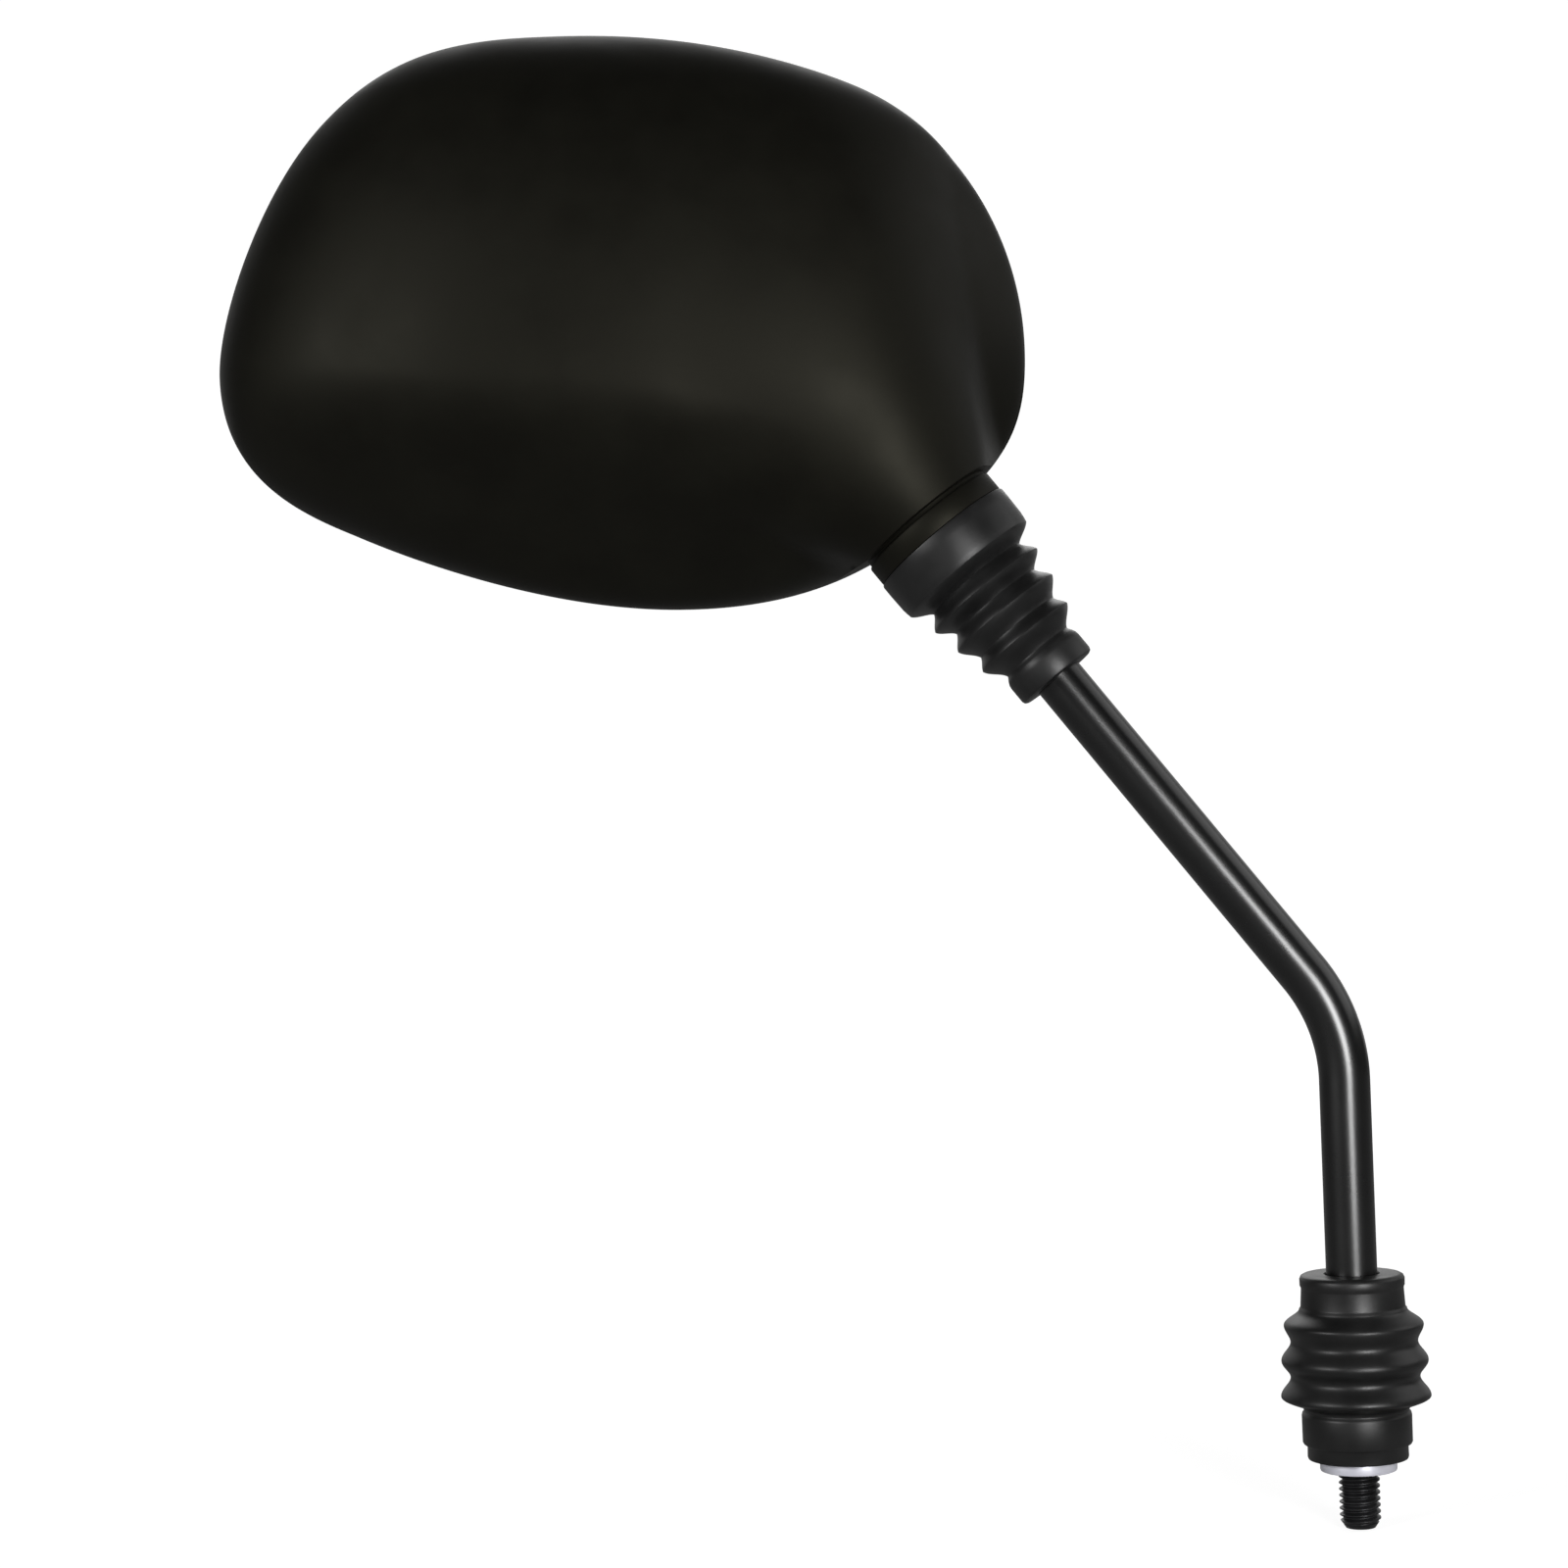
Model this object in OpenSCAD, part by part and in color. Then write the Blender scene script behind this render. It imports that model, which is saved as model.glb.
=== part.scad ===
// Motorcycle mirror: an oval moulded head on a ball joint, a bent steel stem and a stud adapter.
// Millimetres, Z up. The origin is the centre of the adapter's seat face, on the stud's axis.
// The glass faces +Y, towards the rider, and the head reaches out to -X.

/* [Stem] */
// Diameter of the stem's steel rod
rod_d = 10; // [8:0.5:12]
// Height of the point where the rod's two straight runs would meet
bend_z = 88.4; // [80:0.2:110]
// Angle by which the rod is bent over
bend_angle = 37.5; // [25:0.5:50]
// Radius of the bend at the rod's centre
bend_radius = 35; // [25:1:50]
// Turn of the stem about the stud, which leans the head towards the rider
stem_turn = 8; // [0:1:15]
// Distance from the bend's corner to the ball's centre
ball_reach = 134; // [130:0.5:150]

/* [Ball joint] */
// Diameter of the steel ball
ball_d = 17; // [16:0.5:18]
// Wall of the two nylon cups round the ball
cup_wall = 2.4; // [2:0.1:2.6]
// Clearance between sliding faces
slip = 0.05; // [0.03:0.01:0.08]
// Distance of each clamp screw from the ball's centre
screw_reach = 18; // [17.5:0.5:19]
// Diameter of the clamp screws
screw_d = 4; // [3.5:0.5:4.5]

/* [Head] */
// Plane of the rim, measured from the stud's axis
rim_y = 31; // [30:0.5:36]
// Depth of the housing behind its rim
head_depth = 43; // [40:0.5:46]
// Height of the straight band behind the rim
skirt = 4; // [3:0.5:6]
// Wall of the moulded housing
wall = 2.5; // [2:0.1:3]
// Radius of the convex glass
glass_radius = 1200; // [900:50:1600]
// Thickness of the glass
glass_t = 2.2; // [2:0.1:3]

/* [Boots] */
// Diameter of the upper boot's collar
collar_d = 30.6; // [30:0.2:32]
// Length of the upper boot, from the neck to the stem
upper_boot_l = 36.3; // [34:0.1:40]
// Length of the lower boot
lower_boot_l = 36.3; // [34:0.1:38]
// Wall of the boots' folds
boot_wall = 1.3; // [1:0.1:1.6]

/* [Adapter] */
// Diameter of the stud that screws into the handlebar clamp
stud_d = 8; // [6:1:10]
// Length of the stud
stud_l = 11.2; // [10:0.2:30]
// Width of the adapter and its lock nut across the flats
hex_af = 14; // [13:0.5:14]

/* [Hidden] */
$fn = 96;
tiny = 0.01;

// Outline of the head in X and Z, as smooth curves between knots, clockwise seen from the back.
// Each knot is [x, z, heading in degrees, handle before, handle after].
knots = [
    [-219.5, 225, 90, 22, 12],
    [-198, 274.5, 47, 18, 22],
    [-147.5, 292, -1, 20.5, 21.5],
    [-88, 279.5, -24, 19, 22],
    [-55.5, 225.5, -90, 23, 15],
    [-76, 190.5, -145, 20.5, 13],
    [-128.5, 175, 178, 28.5, 24],
    [-192.5, 192, 155, 16, 10]
];
knot_steps = 11;
function knot_arm(knot, reach) = reach * [cos(knot[2]), sin(knot[2])];
function knot_at(knot) = [knot[0], knot[1]];
function curve(a, b, c, d, t) =
    pow(1 - t, 3) * a + 3 * pow(1 - t, 2) * t * b + 3 * (1 - t) * t * t * c + pow(t, 3) * d;
function knot_curve(from, to, t) = curve(
    knot_at(from), knot_at(from) + knot_arm(from, from[4]),
    knot_at(to) - knot_arm(to, to[3]), knot_at(to), t);
outline = [
    for (i = [0 : len(knots) - 1], k = [0 : knot_steps - 1])
        knot_curve(knots[i], knots[(i + 1) % len(knots)], k / knot_steps)
];
around = len(outline);
function inward(i) =
    let (along = outline[(i + 1) % around] - outline[(i + around - 1) % around])
    [along[1], -along[0]] / norm(along);
function inset(d) = [for (i = [0 : around - 1]) outline[i] + d * inward(i)];

// Form of the housing's back, as a depth behind the rim plane.
head_centre = [-137, 225];
crown_power = 2.15;
face_lift = 3;
lower_edge = [-128.5, 175];
outer_bow = 0.0024;
neck_bow = 0.0037;
lower_slope = 1.02;
lower_swell = 0.0037;
swell_from = -150;
side_edge = [-56, 228];
side_bow = 0.0098;
side_slope = 1.17;
edge_blend = 9;
crease_fade = 0.2;
crease_from = -172;
neck_blend = 7;
spine_rise = 0.3;
spine_fade = 0.0045;
spine_spread = 0.7;
spine_flank = 0.97;
flank_slope = 4;
function soft_min(a, b, k) = min(a, b) - pow(max(k - abs(a - b), 0), 2) / (4 * k);
function soft_max(a, b, k) = -soft_min(-a, -b, k);
function crown(rho) = skirt + (head_depth - skirt) * sqrt(max(0, 1 - pow(rho, crown_power)));
function lower_bow(p) = p[0] < lower_edge[0] ? outer_bow : neck_bow;
function lower_face(p) = skirt + face_lift
    + lower_slope * (p[1] - lower_edge[1] - lower_bow(p) * pow(p[0] - lower_edge[0], 2))
    + lower_swell * pow(max(0, p[0] - swell_from), 2);
function side_face(p) = skirt + face_lift
    + side_slope * (side_edge[0] - side_bow * pow(p[1] - side_edge[1], 2) - p[0]);

// Directions of the neck, which lies in line with the stem's upper run.
neck_dir = [-sin(bend_angle) * cos(stem_turn), sin(bend_angle) * sin(stem_turn), cos(bend_angle)];
bend_corner = [0, 0, bend_z];
ball_at = bend_corner + ball_reach * neck_dir;
neck_root = -5.4;
neck_mouth = -10.4;
neck_inner = -2.4;
neck_r = 15;
root_at = ball_at + neck_root * neck_dir;
neck_flat = [neck_dir[0], neck_dir[2]] / norm([neck_dir[0], neck_dir[2]]);
neck_side = [neck_flat[1], -neck_flat[0]];
spine_step = 0.8;
spine_depth = rim_y - root_at[1] + neck_r + spine_step;
function spine(p) =
    let (
        from_root = p - [root_at[0], root_at[2]],
        a = max(0, from_root * neck_flat),
        b = abs(from_root * neck_side),
        w = neck_r + spine_step + spine_spread * a,
        u = min(b / w, spine_flank)
    )
    spine_depth + spine_rise * a - spine_fade * a * a
        - w * (1 - sqrt(1 - u * u)) - flank_slope * max(0, b - spine_flank * w);
function crease_blend(p) = edge_blend + crease_fade * max(0, crease_from - p[0]);
// Depth at a point that lies at the share rho of the way from the head's centre to its outline,
// for the body alone and with the spine that runs out into the neck.
function body_depth(p, rho) =
    max(skirt, soft_min(soft_min(crown(rho), lower_face(p), crease_blend(p)), side_face(p), edge_blend));
function depth(p, rho) = soft_max(body_depth(p, rho), spine(p), neck_blend);

// The same share for any point inside the outline.
function share(p) =
    let (
        v = p - head_centre,
        along = [for (q = outline) (q - head_centre) * v / norm(q - head_centre)],
        nearest = search(max(along), along)[0]
    )
    norm(v) / norm(outline[nearest] - head_centre);

// Seat of the glass: a ledge inside the rim carries the gasket.
ledge_depth = 6.4;
ledge_inset = 4.8;
outer_rings = 18;
inner_rings = 10;
function ray(i, rho) = head_centre + rho * (outline[i] - head_centre);
function flat_ring(points, y) = [for (p = points) [p[0], y, p[1]]];
function ledge_rho(i) = 1 - ledge_inset / norm(outline[i] - head_centre);
function spine_ring(rho) = [
    for (i = [0 : around - 1])
        let (p = ray(i, rho))
        [p[0], rim_y - depth(p, rho), p[1]]
];
function body_ring(rho) = [
    for (i = [0 : around - 1])
        let (p = ray(i, rho))
        [p[0], rim_y - body_depth(p, rho), p[1]]
];
function cavity_ring(rho) = [
    for (i = [0 : around - 1])
        let (share = rho * ledge_rho(i), p = ray(i, share))
        [p[0], rim_y + wall - body_depth(p, share), p[1]]
];
ledge_ring = [for (i = [0 : around - 1]) let (p = ray(i, ledge_rho(i))) [p[0], rim_y - ledge_depth, p[1]]];

// A closed skin through rings of equal count, with a point at each end.
module skin(first, rings, last) {
    n = len(rings[0]);
    count = len(rings);
    points = [first, for (ring = rings) each ring, last];
    faces = [
        for (i = [0 : n - 1]) [0, 1 + i, 1 + (i + 1) % n],
        for (j = [0 : count - 2], i = [0 : n - 1]) each [
            [1 + j * n + i, 1 + (j + 1) * n + i, 1 + (j + 1) * n + (i + 1) % n],
            [1 + j * n + i, 1 + (j + 1) * n + (i + 1) % n, 1 + j * n + (i + 1) % n]
        ],
        for (i = [0 : n - 1]) [1 + n * count, 1 + (count - 1) * n + (i + 1) % n, 1 + (count - 1) * n + i]
    ];
    polyhedron(points, faces);
}

// A solid between the surface through some rings and the rim plane.
module filled(rings) {
    centre = [head_centre[0], rim_y, head_centre[1]];
    skin(centre - [0, depth(head_centre, 0), 0], concat(rings, [flat_ring(outline, rim_y)]), centre);
}

// The hollow of the head, with the seat of the glass at its mouth.
module cavity() {
    inner = [for (j = [1 : inner_rings]) cavity_ring(sin(90 * j / inner_rings))];
    seat = [ledge_ring, flat_ring(inset(wall), rim_y - ledge_depth), flat_ring(inset(wall), rim_y + 1)];
    centre = [head_centre[0], rim_y, head_centre[1]];
    skin(centre + [0, wall - depth(head_centre, 0), 0], concat(inner, seat), centre + [0, 1, 0]);
}

// The head's casing without its bosses: the body, and the spine as far as the root of the neck.
module casing() {
    steps = [for (j = [1 : outer_rings]) sin(90 * j / outer_rings)];
    reach = head_depth + neck_r;
    difference() {
        union() {
            filled([for (rho = steps) body_ring(rho)]);
            intersection() {
                filled([for (rho = steps) spine_ring(rho)]);
                at_ball()
                    translate([0, 0, neck_root])
                        cylinder(r = 2 * reach, h = 3 * reach);
            }
        }
        cavity();
    }
}

// A plate in the plane of the glass with the head's outline.
module outline_plate(inset_by, y_from, y_to) {
    translate([0, y_to, 0])
        rotate([90, 0, 0])
            linear_extrude(height = y_to - y_from)
                polygon(inset(inset_by));
}

// Places its children with Z along the upper rod and the origin at the bend's corner.
module on_upper_rod() {
    translate(bend_corner)
        rotate([0, 0, -stem_turn])
            rotate([0, -bend_angle, 0])
                children();
}

// Places its children with Z along the neck and the origin at the ball's centre.
module at_ball() {
    on_upper_rod()
        translate([0, 0, ball_reach])
            children();
}

// Places its children with Z along +Y at a point of the head.
module facing_glass(p, y) {
    translate([p[0], y, p[1]])
        rotate([-90, 0, 0])
            children();
}

// Adapter and stem.
rod_r = rod_d / 2;
stud_r = stud_d / 2;
hex_r = hex_af / 2 / cos(30);
flange_r = 7.5;
flange_h = 2.3;
adapter_top = 15;
thread_floor = 3.5;
thread_end = 4.5;
thread_top = 27;
nut_h = 6;
nut_turn = 17;
bend_run = bend_radius * tan(bend_angle / 2);
bend_lap = 0.3;
bend_thinning = 0.03;
ball_r = ball_d / 2;
ball_flat = 7;
spigot_r = 4;

// A hexagon with both of its ends chamfered by a cone.
module hexagon(h) {
    cut = hex_r - hex_af / 2;
    intersection() {
        cylinder(r = hex_r, h = h, $fn = 6);
        rotate_extrude()
            polygon([
                [0, 0], [hex_af / 2, 0], [hex_r + tiny, cut * 0.6],
                [hex_r + tiny, h - cut * 0.6], [hex_af / 2, h], [0, h]
            ]);
    }
}

module adapter() {
    tip = 1.6;
    color("dimgray")
        difference() {
            union() {
                translate([0, 0, flange_h - 1])
                    hexagon(adapter_top - flange_h + 1);
                cylinder(r = flange_r, h = flange_h);
                translate([0, 0, -stud_l + tip])
                    cylinder(r = stud_r, h = stud_l - tip + 1);
                translate([0, 0, -stud_l])
                    cylinder(r1 = stud_r - 1.1, r2 = stud_r, h = tip);
            }
            translate([0, 0, thread_floor])
                cylinder(r = rod_r, h = adapter_top);
        }
}

// The steel rod, which thins by a hair where it is bent, with the spigot for the ball at its end.
module stem() {
    upper_from = bend_run - bend_lap;
    seat_at = ball_reach - ball_flat;
    color([0.04, 0.04, 0.045]) {
        translate([0, 0, thread_end])
            cylinder(r1 = rod_r - 1, r2 = rod_r - slip, h = 1);
        translate([0, 0, thread_end + 1])
            cylinder(r = rod_r - slip, h = thread_top - thread_end - 1);
        translate([0, 0, thread_top])
            cylinder(r = rod_r, h = bend_z - bend_run + bend_lap - thread_top);
        translate([0, 0, bend_z - bend_run])
            rotate([0, 0, -stem_turn])
                translate([-bend_radius, 0, 0])
                    rotate([90, 0, 0])
                        rotate_extrude(angle = bend_angle)
                            translate([bend_radius, 0])
                                circle(r = rod_r - bend_thinning);
        on_upper_rod()
            rotate_extrude()
                polygon([
                    [0, upper_from], [rod_r, upper_from], [rod_r, seat_at - 1], [rod_r - 0.5, seat_at],
                    [spigot_r, seat_at], [spigot_r, seat_at + 2 * ball_flat], [0, seat_at + 2 * ball_flat]
                ]);
    }
}

module ball() {
    color("silver")
        at_ball()
            difference() {
                intersection() {
                    sphere(r = ball_r);
                    translate([0, 0, -ball_flat])
                        cylinder(r = ball_d, h = 2 * ball_flat);
                }
                cylinder(r = spigot_r, h = ball_d, center = true);
            }
}

module lock_nut() {
    color("dimgray")
        translate([0, 0, adapter_top])
            difference() {
                rotate([0, 0, nut_turn])
                    hexagon(nut_h);
                translate([0, 0, -1])
                    cylinder(r = rod_r, h = nut_h + 2);
            }
}

// Radius of a fold between a crest and a valley, with t running from 0 at one to 1 at the other.
function fold_r(from, to, t) =
    let (round_t = (1 - cos(180 * t)) / 2)
    from + (to - from) * (round_t + t) / 2;
fold_steps = 6;
// Turns a list of [height, radius] stations into a smooth line of [radius, height] points.
function folds(stations) = [
    for (i = [0 : len(stations) - 2], k = [0 : fold_steps - 1])
        let (a = stations[i], b = stations[i + 1], t = k / fold_steps)
        [fold_r(a[1], b[1], t), a[0] + (b[0] - a[0]) * t],
    [stations[len(stations) - 1][1], stations[len(stations) - 1][0]]
];
function reversed(list) = [for (i = [len(list) - 1 : -1 : 0]) list[i]];
function thinned(points, by) = [for (p = points) [p[0] - by, p[1]]];

// Lower boot: collar on the rod, three folds and a sleeve that covers the nuts.
lower_boot_z = flange_h;
lower_top = lower_boot_z + lower_boot_l;
lower_folds = [[12.2, 10.4], [14.6, 14.6], [18.4, 12.6], [21.6, 14.3], [25.3, 12.4], [28.6, 13.6], [31.8, 10.5]];
module lower_boot() {
    outer = concat(
        [[9.2, lower_boot_z], [9.8, lower_boot_z + 0.6], [9.8, 5.2], [10.6, 5.4], [10.7, 11.2], [10.4, 11.6]],
        folds(lower_folds),
        [[10, lower_top - 0.8], [9.4, lower_top]]);
    inner = concat(
        [[hex_r + slip, lower_boot_z], [hex_r + slip, 12]],
        thinned(folds([for (s = lower_folds) if (s[0] > 12.5) s]), boot_wall + 0.3),
        [[rod_r + 2 * slip, 32.4], [rod_r + 2 * slip, lower_top]]);
    color([0.09, 0.09, 0.09])
        rotate_extrude()
            polygon(concat(outer, reversed(inner)));
}

// Upper boot: a wide collar on the neck's spigot, three folds and a small collar that grips the rod.
// Heights are distances from the ball's centre down the neck, so the profile runs from mouth to rod.
spigot_end = -15.4;
spigot_out = 12.6;
bead_out = 13.1;
boot_end = neck_mouth - upper_boot_l;
upper_folds = [
    [-18.6, 14.9], [-21.2, 11], [-24.2, 13.1], [-27.1, 10], [-30.1, 12.1], [-33.8, 9.3],
    [-36.3, 10.8], [-40.1, 7.6], [-41.4, 8.3]
];
module upper_boot() {
    outer = concat(
        [[collar_d / 2 - 0.3, neck_mouth], [collar_d / 2, neck_mouth - 0.3], [collar_d / 2 - 0.2, -17.2]],
        folds(upper_folds),
        [[8.5, -42], [8.5, boot_end + 0.6], [7.9, boot_end]]);
    inner = concat(
        [[spigot_out, neck_mouth], [spigot_out, spigot_end + 2], [bead_out, spigot_end + 1], [bead_out, spigot_end]],
        thinned(folds([for (s = upper_folds) if (s[0] < -18.6) s]), boot_wall),
        [[rod_r + 2 * slip, -42.4], [rod_r + 2 * slip, boot_end]]);
    color([0.09, 0.09, 0.09])
        at_ball()
            rotate_extrude()
                polygon(concat(outer, reversed(inner)));
}

// The two nylon cups: halves of a hollow sphere, parted on the plane through the neck's axis.
cup_in = ball_r + slip;
cup_out = ball_r + slip + cup_wall;
cup_gap = 0.5;
cup_foot = -5;
module cup(side) {
    span = 2 * cup_out;
    color("ivory")
        at_ball()
            difference() {
                sphere(r = cup_out);
                sphere(r = cup_in);
                translate([-span, side > 0 ? -span + cup_gap : -cup_gap, -span])
                    cube([2 * span, span, 2 * span]);
                translate([-span, -span, cup_foot - span])
                    cube([2 * span, 2 * span, span]);
            }
}

module rear_cup() {
    cup(-1);
}

module front_cup() {
    cup(1);
}

// Clamp over the ball: three screws in bosses of the housing.
pocket_r = cup_out + slip;
plate_y = ball_at[1] + 0.8;
plate_t = 1.5;
screw_angles = [60, 0, -60];
boss_r = 4.2;
washer_r = 4.5;
washer_t = 0.8;
spring_r = 3.7;
dome_r = pocket_r + plate_t;
dome_rim = 0.8;
lobe_r = washer_r + 0.7;
clamp_room = 0.4;
spring_t = 1.1;
screw_head_r = 3.6;
screw_head_h = 2.6;
screw_l = 7;
boss_sink = 1;
function screw_at(i) =
    [ball_at[0], ball_at[2]]
    + screw_reach * (cos(screw_angles[i]) * neck_flat + sin(screw_angles[i]) * neck_side);
function boss_root(i) =
    let (edge = [for (t = [0 : 30 : 330]) screw_at(i) + boss_r * [cos(t), sin(t)]])
    rim_y + boss_sink - min([for (p = edge) depth(p, share(p))]);

// Neck of the housing, with a groove below the spine's end and the spigot for the boot.
groove_w = 0.8;
groove_d = 0.5;
module neck_solid() {
    rotate_extrude()
        polygon([
            [0, spigot_end], [bead_out - 0.5, spigot_end], [bead_out, spigot_end + 0.5], [bead_out, spigot_end + 1],
            [spigot_out, spigot_end + 2], [spigot_out, neck_mouth], [neck_r - 0.3, neck_mouth],
            [neck_r, neck_mouth + 0.3], [neck_r, neck_root - groove_w], [neck_r - groove_d, neck_root - groove_w],
            [neck_r - groove_d, neck_inner], [0, neck_inner]
        ]);
}

// Room for the rod to swing in, inside the neck.
module neck_bore() {
    rotate_extrude()
        polygon([
            [0, spigot_end - 1], [10.8, spigot_end - 1], [10.8, spigot_end + 1], [8.9, neck_mouth + 2.4],
            [8.3, -6.8], [0, -6.8]
        ]);
}

// Room for the clamp plate with its screws and washers, beyond the root of the neck.
module clamp_recess() {
    deep = rim_y - ledge_depth - plate_y;
    difference() {
        union() {
            facing_glass([ball_at[0], ball_at[2]], plate_y)
                cylinder(r = dome_r + dome_rim + clamp_room, h = deep);
            for (i = [0 : 2])
                facing_glass(screw_at(i), plate_y)
                    cylinder(r = lobe_r + clamp_room, h = deep);
        }
        at_ball()
            translate([0, 0, spigot_end])
                cylinder(r = 2 * dome_r, h = neck_inner - spigot_end);
    }
}

module shell() {
    block_r = pocket_r + 3.8;
    color([0.12, 0.115, 0.11])
        difference() {
            union() {
                casing();
                at_ball() neck_solid();
                intersection() {
                    at_ball() {
                        translate([0, 0, neck_root + 1])
                            cylinder(r = block_r, h = -neck_root - 1);
                        sphere(r = block_r);
                    }
                    translate(ball_at - [block_r, block_r, block_r])
                        cube([2 * block_r, block_r + 0.4, 2 * block_r]);
                    at_ball()
                        translate([0, 0, neck_root + 1])
                            cylinder(r = 2 * block_r, h = 3 * block_r);
                }
                for (i = [0 : 2])
                    facing_glass(screw_at(i), boss_root(i))
                        cylinder(r = boss_r, h = plate_y - boss_root(i));
            }
            translate(ball_at)
                sphere(r = pocket_r);
            at_ball() neck_bore();
            clamp_recess();
            for (i = [0 : 2])
                facing_glass(screw_at(i), plate_y - screw_l)
                    cylinder(r = screw_d / 2, h = screw_l + 1);
        }
}

module clamp_plate() {
    color("silver")
        difference() {
            union() {
                facing_glass([ball_at[0], ball_at[2]], plate_y)
                    cylinder(r = dome_r + dome_rim, h = plate_t);
                for (i = [0 : 2])
                    facing_glass(screw_at(i), plate_y)
                        cylinder(r = lobe_r, h = plate_t);
                intersection() {
                    translate(ball_at)
                        sphere(r = dome_r);
                    translate([ball_at[0] - dome_r, plate_y, ball_at[2] - dome_r])
                        cube(2 * dome_r);
                }
            }
            translate(ball_at)
                sphere(r = pocket_r);
            at_ball()
                translate([0, 0, spigot_end])
                    cylinder(r = 2 * dome_r, h = neck_inner + 0.3 - spigot_end);
            for (i = [0 : 2])
                facing_glass(screw_at(i), plate_y - 1)
                    cylinder(r = screw_d / 2 + 0.2, h = plate_t + 2);
        }
}

module washer(i, y, r, t) {
    color("silver")
        facing_glass(screw_at(i), y)
            difference() {
                cylinder(r = r, h = t);
                translate([0, 0, -1])
                    cylinder(r = screw_d / 2 + 0.1, h = t + 2);
            }
}

module flat_washer(i) {
    washer(i, plate_y + plate_t, washer_r, washer_t);
}

// The spring washer has its slanting split.
module spring_washer(i) {
    split = 0.5;
    difference() {
        washer(i, plate_y + plate_t + washer_t, spring_r, spring_t);
        facing_glass(screw_at(i), plate_y + plate_t + washer_t)
            rotate([25, 0, 0])
                translate([0, -split / 2, -2])
                    cube([2 * spring_r, split, 3 * spring_t + 2]);
    }
}

module clamp_screw(i) {
    head_y = plate_y + plate_t + washer_t + spring_t;
    recess = 1.5;
    color("silver")
        facing_glass(screw_at(i), plate_y - screw_l + 1)
            difference() {
                union() {
                    cylinder(r1 = screw_d / 2 - 1, r2 = screw_d / 2, h = 1.5);
                    translate([0, 0, 1.5 - tiny])
                        cylinder(r = screw_d / 2, h = head_y - plate_y + screw_l - 2.5 + 2 * tiny);
                    translate([0, 0, head_y - plate_y + screw_l - 1])
                        cylinder(r1 = screw_head_r, r2 = screw_head_r - 0.9, h = screw_head_h);
                }
                for (turn = [0, 90])
                    rotate([0, 0, turn])
                        translate([-2, -0.45, head_y - plate_y + screw_l - 1 + screw_head_h - recess])
                            cube([4, 0.9, recess + 1]);
            }
}

// Glass and its seat. The convex glass is a slice of a large hollow sphere.
glass_front = rim_y - 0.8;
glass_inset = 4.4;
lip_inset = 7;
sheet_inset = 12;
sheet_t = 1.5;
gasket_front = rim_y - 0.6;
module glass_ball(r) {
    translate([head_centre[0], glass_front - glass_radius, head_centre[1]])
        rotate([90, 0, 0])
            sphere(r = r, $fn = 480);
}

module glass() {
    color([0.75, 0.78, 0.8])
        difference() {
            intersection() {
                outline_plate(glass_inset, rim_y - 12, rim_y);
                glass_ball(glass_radius);
            }
            glass_ball(glass_radius - glass_t);
        }
}

module gasket() {
    color([0.05, 0.05, 0.05])
        difference() {
            outline_plate(wall, rim_y - ledge_depth, gasket_front);
            outline_plate(lip_inset, rim_y - ledge_depth - 1, gasket_front + 1);
            difference() {
                intersection() {
                    outline_plate(glass_inset, rim_y - 12, rim_y);
                    glass_ball(glass_radius);
                }
                glass_ball(glass_radius - glass_t);
            }
        }
}

module backing_sheet() {
    color([0.2, 0.2, 0.2])
        difference() {
            intersection() {
                outline_plate(sheet_inset, rim_y - 12, rim_y);
                glass_ball(glass_radius - glass_t);
            }
            glass_ball(glass_radius - glass_t - sheet_t);
        }
}

adapter();
stem();
ball();
lock_nut();
lower_boot();
upper_boot();
rear_cup();
front_cup();
shell();
clamp_plate();
for (i = [0 : 2]) {
    clamp_screw(i);
    flat_washer(i);
    spring_washer(i);
}
backing_sheet();
glass();
gasket();
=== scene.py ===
import math

import bpy
from mathutils import Matrix, Vector


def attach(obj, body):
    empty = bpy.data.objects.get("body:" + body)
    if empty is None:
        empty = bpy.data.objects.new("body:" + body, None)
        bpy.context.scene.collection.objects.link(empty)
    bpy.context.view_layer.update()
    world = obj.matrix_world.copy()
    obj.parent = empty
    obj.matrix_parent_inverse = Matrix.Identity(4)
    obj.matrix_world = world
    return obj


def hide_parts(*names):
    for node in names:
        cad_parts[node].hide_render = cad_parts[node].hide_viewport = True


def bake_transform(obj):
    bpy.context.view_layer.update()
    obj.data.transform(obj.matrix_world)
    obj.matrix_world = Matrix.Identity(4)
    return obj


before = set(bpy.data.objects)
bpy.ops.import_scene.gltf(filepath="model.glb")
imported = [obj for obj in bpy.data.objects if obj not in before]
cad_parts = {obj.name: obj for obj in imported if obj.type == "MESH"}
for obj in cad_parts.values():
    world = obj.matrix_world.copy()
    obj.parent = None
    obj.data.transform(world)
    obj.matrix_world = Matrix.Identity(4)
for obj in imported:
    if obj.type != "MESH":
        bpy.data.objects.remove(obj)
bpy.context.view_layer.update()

MM = 0.001


# Studio
# A pale floor under the stud's tip, a pale backdrop and four soft lamps. The camera stands square
# behind the head, at the height of its lower edge, and leans a little to one side.
def bare():
    """Leaves nothing selected, in object mode."""
    if bpy.context.object and bpy.context.object.mode != "OBJECT":
        bpy.ops.object.mode_set(mode="OBJECT")
    bpy.ops.object.select_all(action="DESELECT")


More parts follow.
